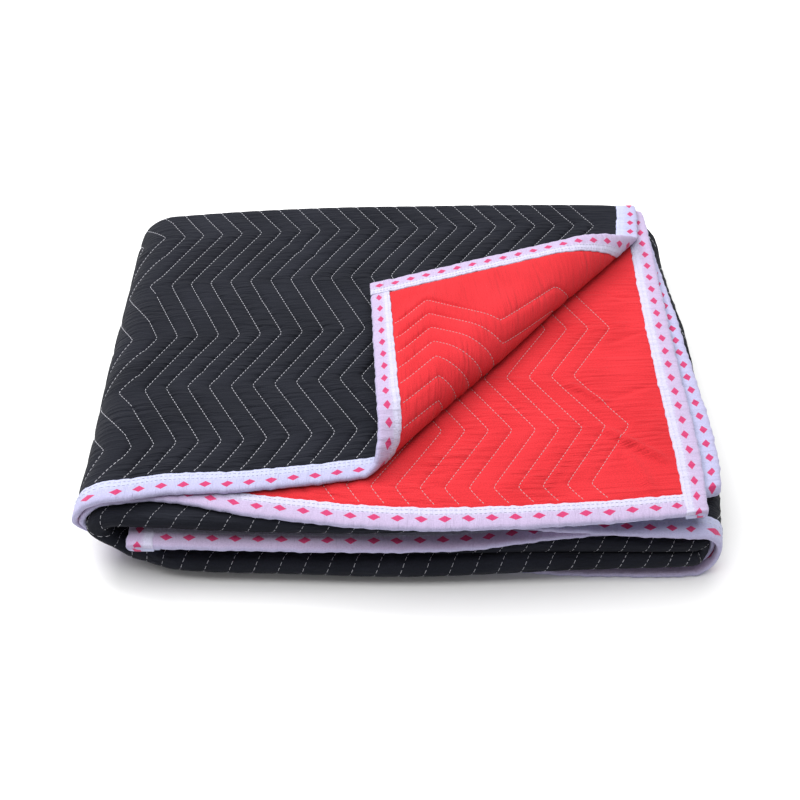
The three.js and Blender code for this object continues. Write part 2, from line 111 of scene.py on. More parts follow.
# How far forward the first edge, the front fold and the last edge lie,
# and how far the front fold bulges beyond its two layers
FRONT_COLUMNS = {"u": 0, "first": 1, "fold": 2, "last": 3, "bulge_second": 4, "bulge_third": 5}
FRONT_TABLE = np.array([
    [0, -150, -208, -251, 1, 0.5],
    [140, -178, -240, -267, 2, 0.5],
    [290, -207, -258, -273, 2, 0.5],
    [430, -229, -257, -256, 2, 0.5],
    [520, -235, -252, -236, 2.5, 0.5],
    [TOP_END, -244, -249, -240, 4, 0.5],
    [(TOP_END + LEFT_END) / 2, -240, -246, -242, 10, 0],
    [LEFT_END, -222, -247, -236, 5, 4],
    [720, -230, -260, -244, 3, 6],
    [800, -240, -264, -250, 3, 7],
    [950, -250, -266, -255, 3, 7],
    [1100, -263, -263, -255, 3, 2.5],
    [BOTTOM_END, -263, -259, -253, 2, 1],
    [(BOTTOM_END + RIGHT_END) / 2, -256, -250, -248, 1, 1],
    [RIGHT_END, -262, -254, -246, 1.5, 0.5],
    [1400, -255, -254, -254, 2.5, 0.5],
    [1530, -244, -256, -273, 2.5, 0.5],
    [PAD_WIDTH, -236, -252, -270, 2.5, 0.5],
])

# Sideways creep of the free end, layer by layer: v, shift
CREEP_TABLE = np.array([
    [0, -28],
    [350, -21],
    [QUARTER, -6],
    [2 * QUARTER, 24],
    [2.5 * QUARTER, 15],
    [2.8 * QUARTER, 8],
    [3 * QUARTER, 3],
    [3.5 * QUARTER, 1],
    [PAD_LENGTH, 7],
])

# The turned-back corner
CREASE_FRONT = np.array([-18.8, -184.7])
CREASE_BACK = np.array([261.2, 177.3])
ROLL_DIP = math.radians(7)
ROLL_COLUMNS = {"turn": 0, "radius": 1}
ROLL_TABLE = np.array([
    [math.radians(100), 8.0],
    [math.radians(140), 20.0],
    [math.pi + ROLL_DIP, 40.0],
])
SETTLE_RADIUS = 60.0
FLAP_HEIGHT = 7.5

# The stack is lower towards its back left corner
DROOP = 0.23
DROOP_X = 100.0
DROOP_REACH_X = 400.0
DROOP_Y = -230.0
DROOP_REACH_Y = 470.0

# The right end draws in towards its front and its back, and the left end a little
TAPER_FROM_X = 245.0
TAPER_TO_X = 330.0
TAPER_FRONT = 14.0
TAPER_FRONT_Y = -116.0
TAPER_FRONT_REACH = 149.0
TAPER_BACK = 9.0
TAPER_BACK_Y = 178.0
TAPER_BACK_REACH = 82.0
TAPER_LIMIT = 1.2
CORNER_ROUND = 9.0
CORNER_X = (285.0, 325.0)
CORNER_Y = (40.0, 190.0, 265.0)
CORNER_RETURN = 0.7
LEFT_DRAW_X = (-200.0, -310.0)
LEFT_DRAW = 3.0
LEFT_DRAW_BACK = 3.0
LEFT_DRAW_Y = (-245.0, -170.0)

# The left fold tucks in underneath at its front
TUCK = 25.0
TUCK_X = (-205.0, -305.0)
TUCK_Y = (-140.0, -245.0)
TUCK_Z = (54.0, 20.0)


# Folding the flat pad

def smooth(low, high, value):
    t = np.clip((value - low) / (high - low), 0, 1)
    return t * t * (3 - 2 * t)


def look_up(table, column, key):
    """Smooth curve through one column of a table."""
    at = table[:, 0]
    values = table[:, column]
    index = np.arange(len(at))
    before = np.maximum(index - 1, 0)
    after = np.minimum(index + 1, len(at) - 1)
    slopes = (values[after] - values[before]) / (at[after] - at[before])
    row = np.clip(np.searchsorted(at, key) - 1, 0, len(at) - 2)
    length = at[row + 1] - at[row]
    t = (key - at[row]) / length
    inside = np.clip(t, 0, 1)
    rise = values[row + 1] - values[row]
    start = slopes[row] * length
    end = slopes[row + 1] * length
    curve = start + inside * (3 * rise - 2 * start - end + inside * (start + end - 2 * rise))
    beyond = np.where(t > 1, end, start) * (t - inside)
    return values[row] + inside * curve + beyond


def path_at(u):
    """Centre line of the folded strip across the width: x, z and its outward normal."""
    left_turn = np.clip((u - TOP_END) / LEFT_FOLD_RADIUS, 0, math.pi)
    right_turn = np.clip((u - BOTTOM_END) / RIGHT_FOLD_RADIUS, 0, math.pi)
    nx = -np.sin(left_turn) + np.sin(right_turn)
    nz = np.where(u < BOTTOM_END, np.cos(left_turn), -np.cos(right_turn))
    top_run = np.minimum(u, TOP_END)
    bottom_run = np.clip(u - LEFT_END, 0, BOTTOM_END - LEFT_END)
    middle_run = np.maximum(u - RIGHT_END, 0)
    x = FREE_END_X - top_run + bottom_run - middle_run
    x = x - LEFT_FOLD_RADIUS * np.sin(left_turn) + RIGHT_FOLD_RADIUS * np.sin(right_turn)
    left_z = (TOP_Z + BOTTOM_Z) / 2 + LEFT_FOLD_RADIUS * np.cos(left_turn)
    right_z = (MIDDLE_Z + BOTTOM_Z) / 2 - RIGHT_FOLD_RADIUS * np.cos(right_turn)
    return x, np.where(u < BOTTOM_END, left_z, right_z), nx, nz


def section_at(u, v):
    """Back-and-forth section of the layers along the length: y, n and the black side's normal."""
    first = look_up(FRONT_TABLE, FRONT_COLUMNS["first"], u)
    fold = look_up(FRONT_TABLE, FRONT_COLUMNS["fold"], u)
    last = look_up(FRONT_TABLE, FRONT_COLUMNS["last"], u)
    bulge_second = look_up(FRONT_TABLE, FRONT_COLUMNS["bulge_second"], u)
    bulge_third = look_up(FRONT_TABLE, FRONT_COLUMNS["bulge_third"], u)
    bulb_radius = INNER_FOLD_RADIUS + (bulge_second + bulge_third) / 2
    bulb_centre = -LAYER_PITCH + (bulge_third - bulge_second) / 2
    outer = np.clip((v - V_OUTER_START) / OUTER_FOLD_RADIUS, 0, math.pi)
    front = np.clip((v - V_FRONT_START) / FRONT_FOLD_RADIUS, 0, math.pi)
    inner = np.clip((v - V_INNER_START) / INNER_FOLD_RADIUS, 0, math.pi)
    second_part = np.clip((v - V_OUTER_END) / (V_FRONT_START - V_OUTER_END), 0, 1)
    third_part = np.clip((v - V_FRONT_END) / (V_INNER_START - V_FRONT_END), 0, 1)
    last_part = np.maximum((v - V_INNER_END) / (PAD_LENGTH - V_INNER_END), 0)
    second_swell = 1 - smooth(0, BULGE_REACH, (1 - second_part) * (BACK_Y - fold))
    third_swell = 1 - smooth(0, BULGE_REACH, third_part * (BACK_Y - fold))
    zones = [v <= V_OUTER_START, v <= V_OUTER_END, v <= V_FRONT_START, v <= V_FRONT_END,
             v <= V_INNER_START, v <= V_INNER_END]
    level = np.zeros_like(v)
    up = np.ones_like(v)
    y = np.select(zones, [
        first + (BACK_Y - first) * v / V_OUTER_START,
        BACK_Y + OUTER_FOLD_RADIUS * np.sin(outer),
        BACK_Y + (fold - BACK_Y) * second_part,
        fold - bulb_radius * np.sin(front),
        fold + (BACK_Y - fold) * third_part,
        BACK_Y + INNER_FOLD_RADIUS * np.sin(inner),
    ], BACK_Y + (last - BACK_Y) * last_part)
    n = np.select(zones, [
        OUTER_FOLD_RADIUS * up,
        OUTER_FOLD_RADIUS * np.cos(outer),
        -OUTER_FOLD_RADIUS - bulge_second * second_swell,
        bulb_centre - bulb_radius * np.cos(front),
        -INNER_FOLD_RADIUS + bulge_third * third_swell,
        -INNER_FOLD_RADIUS * np.cos(inner),
    ], INNER_FOLD_RADIUS * up)
    ny = np.select(zones, [level, np.sin(outer), level, -np.sin(front), level, -np.sin(inner)], level)
    nn = np.select(zones, [up, np.cos(outer), -up, -np.cos(front), up, np.cos(inner)], -up)
    return y, n, ny, nn


def creep_at(u, v):
    return np.maximum(0, 1 - u / TOP_END) * look_up(CREEP_TABLE, 1, v)


ALONG = (CREASE_BACK - CREASE_FRONT) / np.linalg.norm(CREASE_BACK - CREASE_FRONT)
ROLL_TURNS = np.concatenate([[0.0], ROLL_TABLE[:, ROLL_COLUMNS["turn"]]])
ROLL_RADII = ROLL_TABLE[:, ROLL_COLUMNS["radius"]]
ROLL_ARCS = np.concatenate([[0.0], np.cumsum(ROLL_RADII * np.diff(ROLL_TURNS))])
ROLL_ARC = ROLL_ARCS[-1]
ROLL_DROP = np.sum(-ROLL_RADII * np.diff(np.cos(ROLL_TURNS))) - FLAP_HEIGHT
SETTLE_DROP = SETTLE_RADIUS * (1 - math.cos(ROLL_DIP))
SLOPE_LENGTH = (ROLL_DROP - SETTLE_DROP) / math.sin(ROLL_DIP)
SETTLE_ARC = SETTLE_RADIUS * ROLL_DIP


def past_crease(u, v):
    """Distance past the crease of a point of the top layer, below zero elsewhere."""
    x = path_at(u)[0] + creep_at(u, v) - CREASE_FRONT[0]
    y = section_at(u, v)[0] - CREASE_FRONT[1]
    on_top = (u < TOP_END) & (v < V_OUTER_START)
    return np.where(on_top, x * ALONG[1] - y * ALONG[0], -1.0)


def roll_at(d):
    """Shape of the roll and of the flap behind it: across, up and turn."""
    turn = np.interp(d, ROLL_ARCS, ROLL_TURNS)
    across = np.zeros_like(d)
    up = np.zeros_like(d)
    for start, end, radius in zip(ROLL_TURNS[:-1], ROLL_TURNS[1:], ROLL_RADII):
        reached = np.clip(turn, start, end)
        across = across + radius * (np.sin(reached) - math.sin(start))
        up = up + radius * (math.cos(start) - np.cos(reached))
    slope = np.clip(d - ROLL_ARC, 0, SLOPE_LENGTH)
    settle = np.clip(d - ROLL_ARC - SLOPE_LENGTH, 0, SETTLE_ARC) / SETTLE_RADIUS
    flat = np.maximum(d - ROLL_ARC - SLOPE_LENGTH - SETTLE_ARC, 0)
    left = ROLL_DIP - settle
    across = across - slope * math.cos(ROLL_DIP) - flat
    across = across - SETTLE_RADIUS * (math.sin(ROLL_DIP) - np.sin(left))
    up = up - slope * math.sin(ROLL_DIP)
    up = up - SETTLE_RADIUS * (np.cos(left) - math.cos(ROLL_DIP))
    return across, up, turn - settle


def place(u, v, h):
    """Place of points of the flat pad on the folded pad, in millimetres."""
    u, v, h = (np.array(a, dtype=float) for a in np.broadcast_arrays(u, v, h))
    px, pz, nx, nz = path_at(u)
    sy, sn, ny, nn = section_at(u, v)
    off = sn + h * nn
    x = px + off * nx + creep_at(u, v)
    y = sy + h * ny
    z = pz + off * nz
    d = past_crease(u, v)
    across, up, turn = roll_at(np.maximum(d, 0))
    across = np.where(d > 0, across - h * np.sin(turn) - d, 0)
    x = x + across * ALONG[1]
    y = y - across * ALONG[0]
    z = z + np.where(d > 0, up + h * (np.cos(turn) - 1), 0)
    left = np.maximum(0, (DROOP_X - x) / DROOP_REACH_X)
    back = np.maximum(0, (y - DROOP_Y) / DROOP_REACH_Y)
    z = z * (1 - DROOP * left ** 2 * back ** 2)
    front_part = np.clip((TAPER_FRONT_Y - y) / TAPER_FRONT_REACH, 0, TAPER_LIMIT)
    back_part = np.clip((y - TAPER_BACK_Y) / TAPER_BACK_REACH, 0, TAPER_LIMIT)
    draw_in = TAPER_FRONT * front_part ** 2 + TAPER_BACK * back_part ** 2
    x = x - smooth(TAPER_FROM_X, TAPER_TO_X, x) * draw_in
    rounding = smooth(*CORNER_Y[:2], y) * (1 - CORNER_RETURN * smooth(*CORNER_Y[1:], y))
    x = x - CORNER_ROUND * smooth(*CORNER_X, x) * rounding
    left_draw = LEFT_DRAW * smooth(*LEFT_DRAW_Y, y) + LEFT_DRAW_BACK * back_part ** 2
    x = x + smooth(*LEFT_DRAW_X, x) * left_draw
    x = x + TUCK * smooth(*TUCK_X, x) * smooth(*TUCK_Y, y) * smooth(*TUCK_Z, z)
    return np.stack([x - MIDDLE_X, y - MIDDLE_Y, np.maximum(z, 0)], axis=-1)


# Quilting: place along the length, number of the stroke there, and sideways drift of the rows
STROKE_TABLE = np.array([
    [-18, -1, 0],
    [72, 0, 0],
    [246, 2, -4],
    [448, 4, -12],
    [1016, 11.5, 0],
    [1748, 20, 0],
    [1904, 22, 0],
    [2060, 24, 0],
])


def swing_at(v):
    """Sideways place of a thread row: straight strokes to and fro with slightly rounded corners."""
    stroke = np.interp(v, STROKE_TABLE[:, 0], STROKE_TABLE[:, 1])
    wave = np.arcsin(ZIGZAG_SHARPNESS * np.sin(math.pi * (stroke - 0.5)))
    wave = wave / math.asin(ZIGZAG_SHARPNESS)
    drift = np.interp(v, STROKE_TABLE[:, 0], STROKE_TABLE[:, 2])
    return ZIGZAG_SWING * (1 + wave) / 2 + drift


# Rows of the turned-back corner as they show on its red side: spread, and place along v with drift
CORNER_SPREAD = 0.19
CORNER_SPREAD_R = (300.0, 364.0, 1200.0)
CORNER_SPREAD_V = (300.0, 470.0)
CORNER_DRIFT = np.array([
    [26, 3],
    [72, -8],
    [159, 15],
    [246, 15],
    [420, 0],
])


def corner_spread(r, v):
    """Sideways shift of the red side's rows on the turned-back corner."""
    reach, fade_from, fade_to = CORNER_SPREAD_R
    spread = CORNER_SPREAD * np.clip(r - ROW_START, 0, reach)
    drift = np.interp(v, CORNER_DRIFT[:, 0], CORNER_DRIFT[:, 1])
    fade = (1 - smooth(fade_from, fade_to, r)) * (1 - smooth(*CORNER_SPREAD_V, v))
    return (spread + drift) * fade


def slide_at(r):
    """How far a grid line follows the zigzag: not at all at the two side edges."""
    return smooth(*SLIDE_NEAR, r) * (1 - smooth(*SLIDE_FAR, r))


def thread_gap(r):
    """Distance from a grid line to the nearest thread row."""
    row = np.maximum(np.round((r - ROW_START) / ROW_PITCH), 0)
    return np.abs(r - ROW_START - row * ROW_PITCH)


def edge_inset(u, v):
    """Distance from the nearest edge of the flat pad."""
    return np.minimum(np.minimum(u, PAD_WIDTH - u), np.minimum(v, PAD_LENGTH - v))


def quilt_height(r, u, v):
    """Height of the quilted face: puffed between the threads, drawn in along them."""
    gap = thread_gap(r)
    part = np.clip(gap / (ROW_PITCH / 2), 0, 1)
    puff = PUFF * np.sin(part * math.pi / 2) ** PUFF_POWER
    dip = DIP * np.exp(-((gap / DIP_WIDTH) ** 2))
    inset = edge_inset(u, v)
    edge = smooth(TAPE_WIDTH, TAPE_WIDTH + EDGE_CALM, inset)
    from_fold = np.minimum(np.abs(v - QUARTER), np.abs(v - 2 * QUARTER))
    edge = edge * (FOLD_RELIEF + (1 - FOLD_RELIEF) * smooth(FOLD_CALM / 3, FOLD_CALM, from_fold))
    from_roll = np.abs(past_crease(u, v) - ROLL_ARC / 2) - ROLL_ARC / 2
    edge = edge * (ROLL_RELIEF + (1 - ROLL_RELIEF) * smooth(0, FOLD_CALM, from_roll))
    tuck = TAPE_TUCK * (1 - smooth(*TAPE_TUCK_BAND, inset))
    return HALF_THICK - FACE_INSET + edge * (puff - dip) - tuck


# Creases of the visible cloth: side, ends on the flat pad, half-width and depth, below zero for a ridge
RIDGE_BESIDE = 1.8
RIDGE_SHARE = 0.3
CREASE_COLUMNS = ("side", "u_from", "v_from", "u_to", "v_to", "half_width", "depth")
CREASES = (
    (-1, 96, 1902, 22, 1971, 4.0, -4.8),
    (-1, 72, 1944, 52, 2006, 3.8, -4.4),
    (-1, 120, 1836, 80, 1872, 3.6, -3.0),
    (-1, 76, 1864, 26, 1846, 3.4, 1.6),
    (-1, 70, 1776, 24, 1756, 3.4, 1.6),
    (-1, 64, 1688, 24, 1704, 3.4, 1.6),
    (-1, 150, 1990, 120, 1940, 5.0, 1.0),
    (1, 434, 437, 364, 378, 7.0, 2.2),
    (1, 470, 330, 430, 300, 6.0, 1.4),
    (1, 300, 210, 250, 180, 6.0, 1.4),
    (1, 520, 200, 470, 170, 6.0, 1.4),
    (1, 200, 440, 150, 420, 6.0, 1.3),
)


def crease_shift(u, v):
    """Shift of the cloth along its creases, fading at their ends."""
    total = np.zeros_like(u)
    for crease in CREASES:
        row = dict(zip(CREASE_COLUMNS, crease))
        run_u = row["u_to"] - row["u_from"]
        run_v = row["v_to"] - row["v_from"]
        length = math.hypot(run_u, run_v)
        along = ((u - row["u_from"]) * run_u + (v - row["v_from"]) * run_v) / length ** 2
        off = ((u - row["u_from"]) * run_v - (v - row["v_from"]) * run_u) / length
        fade = np.sqrt(np.sin(math.pi * np.clip(along, 0, 1)).clip(0))
        trough = np.exp(-((off / row["half_width"]) ** 2))
        ridge = np.exp(-((off / row["half_width"] - RIDGE_BESIDE) ** 2))
        total = total - row["side"] * row["depth"] * fade * (trough - RIDGE_SHARE * ridge)
    return total


# Slow waves across and along the pad: length, length of their bending, and how far they bend
WAVE_ACROSS = (47, 83, 1.3)
WAVE_ALONG = (39, 71, 1.7)


def slow_wave(place, other, length, bend_length, bend):
    return np.sin(place / length + bend * np.sin(other / bend_length))


def unevenness(u, v):
    """Slow waves of cloth that does not lie quite flat."""
    return UNEVEN * (slow_wave(u, v, *WAVE_ACROSS) + slow_wave(v, u, *WAVE_ALONG)) / 2


def face_height(side, r, u, v):
    """Height of one face above the middle of the flat pad, with its quilting, creases and waves."""
    inset = edge_inset(u, v)
    inside = smooth(TAPE_WIDTH, TAPE_WIDTH + UNEVEN_EDGE, inset)
    return side * quilt_height(r, u, v) + inside * (unevenness(u, v) + crease_shift(u, v))


def steps(start, *runs):
    """Sample places from start through runs of (end, spacing)."""
    values = [start]
    for end, spacing in runs:
        count = max(1, int(round((end - values[-1]) / spacing)))
        values.extend(np.linspace(values[-1], end, count + 1)[1:])
    return np.array(values)


def row_lines(first, count, fractions):
    """Grid lines that follow a number of thread rows, at fractions of the row pitch."""
    rows = ROW_START + ROW_PITCH * (first + np.arange(count))
    return (rows[:, None] + ROW_PITCH * np.array(fractions)[None, :]).ravel()


# Meshes

def mesh_object(name, points, faces, layers, material):
    """A smooth-shaded mesh of quads in metres, with its flat places as UV layers."""
    mesh = bpy.data.meshes.new(name)
    mesh.vertices.add(len(points))
    mesh.vertices.foreach_set("co", (points * MM).astype(np.float32).ravel())
    count, sides = faces.shape
    mesh.loops.add(count * sides)
    mesh.loops.foreach_set("vertex_index", faces.astype(np.int32).ravel())
    mesh.polygons.add(count)
    mesh.polygons.foreach_set("loop_start", np.arange(0, count * sides, sides, dtype=np.int32))
    mesh.polygons.foreach_set("use_smooth", np.ones(count, dtype=bool))
    for layer, values in layers.items():
        uv = mesh.uv_layers.new(name=layer)
        uv.data.foreach_set("uv", values[faces.ravel()].astype(np.float32).ravel())
    mesh.update(calc_edges=True)
    mesh.materials.append(material)
    piece = bpy.data.objects.new(name, mesh)
    bpy.context.scene.collection.objects.link(piece)
    return piece


def grid_faces(rows, columns, flip):
    index = np.arange(rows * columns).reshape(rows, columns)
    a, b = index[:-1, :-1], index[1:, :-1]
    c, d = index[1:, 1:], index[:-1, 1:]
    order = (a, b, c, d) if flip else (a, d, c, b)
    return np.stack([corner.ravel() for corner in order], axis=1)


def panel(name, side, r_lines, v_lines, material):
    """One quilted face of the pad as a grid that follows its thread rows."""
    r, v = np.meshgrid(r_lines, v_lines, indexing="ij")
    swing = swing_at(v)
    if side < 0:
        swing = swing + corner_spread(r, v)
    u = r + swing * slide_at(r)
    h = face_height(side, r, u, v)
    points = place(u, v, h).reshape(-1, 3)
    flat = np.stack([u, v], axis=-1).reshape(-1, 2) * MM
    quilt = np.stack([(r - ROW_START) / ROW_PITCH, v * MM], axis=-1).reshape(-1, 2)
    faces = grid_faces(len(r_lines), len(v_lines), side < 0)
    return mesh_object(name, points, faces, {"flat": flat, "quilt": quilt}, material)


# Binding tape: inset from the pad's edge and height, from the black side round to the red side
TAPE_PROFILE = np.array([
    [24.4, 1.9], [24.2, 2.9], [23.4, 3.3], [19.0, 3.35], [14.5, 3.3], [10.0, 3.35], [5.5, 3.35],
    [2.0, 3.2], [-0.6, 2.6], [-1.8, 1.4], [-2.1, 0.0], [-1.8, -1.4], [-0.6, -2.6],
    [2.0, -3.2], [5.5, -3.35], [10.0, -3.35], [14.5, -3.3], [19.0, -3.35], [23.4, -3.3],
    [24.2, -2.9], [24.4, -1.9],
])
TAPE_STEP = 2.4
TAPE_LIFT = 0.9
TAPE_PUCKER = 0.4
TAPE_WANDER = 0.7
WANDER_STRETCH = 0.45
TAPE_FACE = 3.35
LIFT_FADE = 6.0
PUCKER_BAND = (2.0, 18.0)
END_REACH = 0.5
SIDE_REACH = 2.2
END_CLOSING = 0.05
SHORT_EDGES = ("start", "end")
RIPPLE_WAVELENGTHS = (5.3, 7.1, 11.0, 19.0, 37.0)
RIPPLE_SHARE = 3


def ripple(s, seed):
    """Slow, uneven ripple along a length, between about -1 and 1."""
    chooser = np.random.default_rng(seed)
    total = np.zeros_like(s)
    for wavelength in RIPPLE_WAVELENGTHS:
        total = total + np.sin(s / wavelength * 2 * math.pi + chooser.uniform(0, 2 * math.pi))
    return total / RIPPLE_SHARE


def tape_places(edge, s, inset):
    """Flat places of points of a tape: s along the edge, inset from it."""
    if edge == "start":
        return s, inset
    if edge == "end":
        return s, PAD_LENGTH - inset
    if edge == "free":
        return inset, s
    return PAD_WIDTH - inset, s


def tape_lift(edge, s):
    """The side tapes lie over the ends of the other two."""
    if edge in SHORT_EDGES:
        return np.zeros_like(s)
    ends = np.minimum(s, PAD_LENGTH - s)
    return TAPE_LIFT * (1 - smooth(TAPE_WIDTH, TAPE_WIDTH + LIFT_FADE, ends))


def tape_rise(edge, s, inset, seed):
    """Rise of the tape's face at an inset: the puckers of its sewing and its lift over another tape."""
    pucker = TAPE_PUCKER * ripple(s, seed) * smooth(*PUCKER_BAND, inset)
    return pucker + tape_lift(edge, s)


def tape_length(edge):
    return PAD_WIDTH if edge in SHORT_EDGES else PAD_LENGTH


def tape(name, edge, seed, material):
    """One tape folded over its edge, with its two ends closed."""
    length = tape_length(edge)
    reach = END_REACH if edge in SHORT_EDGES else SIDE_REACH
    along = steps(-reach, (length + reach, TAPE_STEP))
    along = np.concatenate([along[:1], along, along[-1:]])
    closing = np.ones((len(along), 1))
    closing[[0, -1]] = END_CLOSING
    s, index = np.meshgrid(along, np.arange(len(TAPE_PROFILE)), indexing="ij")
    inset = TAPE_PROFILE[index, 0]
    height = TAPE_PROFILE[index, 1]
    side = np.sign(height)
    wander = TAPE_WANDER * ripple(s * WANDER_STRETCH, seed + 1)
    h = closing * (height + side * tape_rise(edge, s, inset, seed))
    u, v = tape_places(edge, s, inset + wander)
    points = place(u, v, h).reshape(-1, 3)
    moved = np.hypot(np.diff(TAPE_PROFILE[:, 0]), np.diff(TAPE_PROFILE[:, 1]))
    across = np.concatenate([[0], np.cumsum(moved)])
    flat = np.stack([s, across[index]], axis=-1).reshape(-1, 2) * MM
    faces = grid_faces(len(along), len(TAPE_PROFILE), edge in ("start", "inner"))
    return mesh_object(name, points, faces, {"tape": flat}, material)


# Stitches
STITCH_PITCH = 4.6
STITCH_LENGTH = 4.15
STITCH_RADIUS = 0.32
STITCH_SIDES = 5
STITCH_FROM = 1.0
SHORTEST_PATH = 8
PATH_STEP = 1.0
SEAM_STEP = 2.0

# Stations along one stitch: place, rise above the face, and share of the radius
STITCH_PLACES = np.array([0.0, 0.25, 0.75, 1.0])
STITCH_RISES = np.array([-0.55, 0.12, 0.12, -0.55])
STITCH_SHARES = np.array([0.5, 1.0, 1.0, 0.5])


def stitch_points(u, v, h, side, radius):
    """Rings of short thread loops: u, v, h and radius have one column per station."""
    middle = place(u, v, h)
    above = place(u, v, h + side)
    normal = above - middle
    normal /= np.linalg.norm(normal, axis=-1, keepdims=True)
    along = middle[:, -1:, :] - middle[:, :1, :]
    along = along / np.linalg.norm(along, axis=-1, keepdims=True)
    across = np.cross(np.broadcast_to(along, normal.shape), normal)
    across /= np.linalg.norm(across, axis=-1, keepdims=True)
    turn = np.linspace(0, 2 * math.pi, STITCH_SIDES, endpoint=False)
    ring = np.cos(turn)[:, None] * across[..., None, :] + np.sin(turn)[:, None] * normal[..., None, :]
    return middle[..., None, :] + ring * radius[..., None, None]


def stitches(name, paths, material):
    """Short raised stitches along flat paths: each path is u, v, a height function, side and thickness."""
    rings = []
    for u, v, height, side, thickness in paths:
        run = np.concatenate([[0], np.cumsum(np.hypot(np.diff(u), np.diff(v)))])
        starts = np.arange(STITCH_FROM, run[-1] - STITCH_LENGTH, STITCH_PITCH)
        if len(starts) == 0:
            continue
        at = starts[:, None] + STITCH_LENGTH * STITCH_PLACES
        su = np.interp(at, run, u)
        sv = np.interp(at, run, v)
        h = height(su, sv) + side * STITCH_RISES
        radius = thickness * STITCH_RADIUS * STITCH_SHARES * np.ones_like(su)
        rings.append(stitch_points(su, sv, h, side, radius))
    points = np.concatenate(rings)
    count, stations, sides = points.shape[:3]
    index = np.arange(count * stations * sides).reshape(count, stations, sides)
    after = np.roll(index, -1, axis=2)
    corners = (index[:, :-1], after[:, :-1], after[:, 1:], index[:, 1:])
    faces = np.stack([corner.ravel() for corner in corners], axis=1)
    return mesh_object(name, points.reshape(-1, 3), faces, {}, material)


def thread_paths(side, rows, v_from, v_to, thickness=1.0, keep=None):
    """Paths of thread rows on one face, cut where keep says no."""
    paths = []
    for row in rows:
        v = np.arange(v_from, v_to, PATH_STEP)
        line = ROW_START + row * ROW_PITCH
        u = line + swing_at(v)
        if side < 0:
            u = u + corner_spread(line, v)
        if keep is not None:
            wanted = keep(u, v)
            u, v = u[wanted], v[wanted]
        if len(u) < SHORTEST_PATH:
            continue

        def height(su, sv, line=line):
            return face_height(side, np.full_like(su, line), su, sv)

        paths.append((u, v, height, side, thickness))
    return paths


def tape_paths(edge, side, seed, s_from, s_to, insets):
    """Paths of the stitches that hold a tape."""
    paths = []
    for inset in insets:
        s = np.arange(s_from, s_to, SEAM_STEP)
        u, v = tape_places(edge, s, np.full_like(s, inset))

        def height(su, sv, inset=inset):
            run = su if edge in SHORT_EDGES else sv
            return side * (TAPE_FACE + tape_rise(edge, run, np.full_like(run, inset), seed))

        paths.append((np.array(u), np.array(v), height, side, 1.0))
    return paths


# Materials: colours, and lengths in metres
SPECULAR = 0.12
BLACK_DARK = (0.0085, 0.0095, 0.0145)
BLACK_LIGHT = (0.0135, 0.0148, 0.0220)
RED_DARK = (0.53, 0.020, 0.027)
RED_LIGHT = (0.62, 0.028, 0.037)
THREAD = (0.52, 0.52, 0.57)
RED_THREAD = (0.46, 0.36, 0.38)
TAPE_THREAD = (0.53, 0.53, 0.66)
LOZENGE = (0.50, 0.04, 0.14)
BLACK_PUCKER = 0.0066
RED_PUCKER = 0.0044
WEAVE_PERIOD_MM = 1.3
WEAVE_DEPTH = 0.00025
TAPE_ROUND = 0.0605
TAPE_RUMPLE = 0.0026
RIB_PITCH = 0.0016
RIB_DEPTH = 0.0002
LOZENGE_PITCH = 0.022
LOZENGE_PLACE = 0.2
LOZENGE_SLOPE = 4.2
DIM_SHARE = 0.82

# Bands across a tape, from the black side round to the red side
TAPE_BANDS = (
    (0.0, (0.47, 0.49, 0.68)), (0.16, (0.47, 0.49, 0.68)), (0.22, (0.42, 0.42, 0.61)),
    (0.48, (0.42, 0.40, 0.59)), (0.56, (0.45, 0.37, 0.54)), (0.76, (0.46, 0.38, 0.55)),
    (0.82, (0.53, 0.51, 0.66)), (1.0, (0.53, 0.51, 0.66)),
)


def new_material(name, roughness, sheen):
    material = bpy.data.materials.new(name)
    material.use_nodes = True
    shader = material.node_tree.nodes["Principled BSDF"]
    shader.inputs["Roughness"].default_value = roughness
    shader.inputs["Sheen Weight"].default_value = sheen
    shader.inputs["Specular IOR Level"].default_value = SPECULAR
    return material, material.node_tree, shader


def uv_node(tree, layer, scale):
    uv = tree.nodes.new("ShaderNodeUVMap")
    uv.uv_map = layer
    mapping = tree.nodes.new("ShaderNodeMapping")
    mapping.inputs["Scale"].default_value = scale
    tree.links.new(uv.outputs["UV"], mapping.inputs["Vector"])
    return mapping.outputs["Vector"]


def noise_node(tree, vector, scale, detail):
    noise = tree.nodes.new("ShaderNodeTexNoise")
    noise.inputs["Scale"].default_value = scale
    noise.inputs["Detail"].default_value = detail
    tree.links.new(vector, noise.inputs["Vector"])
    return noise.outputs["Fac"]


def ramp_node(tree, value, stops):
    ramp = tree.nodes.new("ShaderNodeValToRGB")
    while len(ramp.color_ramp.elements) < len(stops):
        ramp.color_ramp.elements.new(0.5)
    for element, (position, colour) in zip(ramp.color_ramp.elements, stops):
        element.position = position
        element.color = (*colour, 1.0)
    tree.links.new(value, ramp.inputs["Fac"])
    return ramp.outputs["Color"]


def math_node(tree, operation, first, second):
    node = tree.nodes.new("ShaderNodeMath")
    node.operation = operation
    for socket, value in zip(node.inputs, (first, second)):
        if isinstance(value, (int, float)):
            socket.default_value = value
        else:
            tree.links.new(value, socket)
    return node.outputs["Value"]


def mix_node(tree, blend, factor, first, second):
    node = tree.nodes.new("ShaderNodeMix")
    node.data_type = "RGBA"
    node.blend_type = blend
    sockets = (node.inputs[0], node.inputs[6], node.inputs[7])
    for socket, value in zip(sockets, (factor, first, second)):
        if isinstance(value, (int, float)):
            socket.default_value = value
        elif isinstance(value, tuple):
            socket.default_value = (*value, 1.0)
        else:
            tree.links.new(value, socket)
    return node.outputs[2]


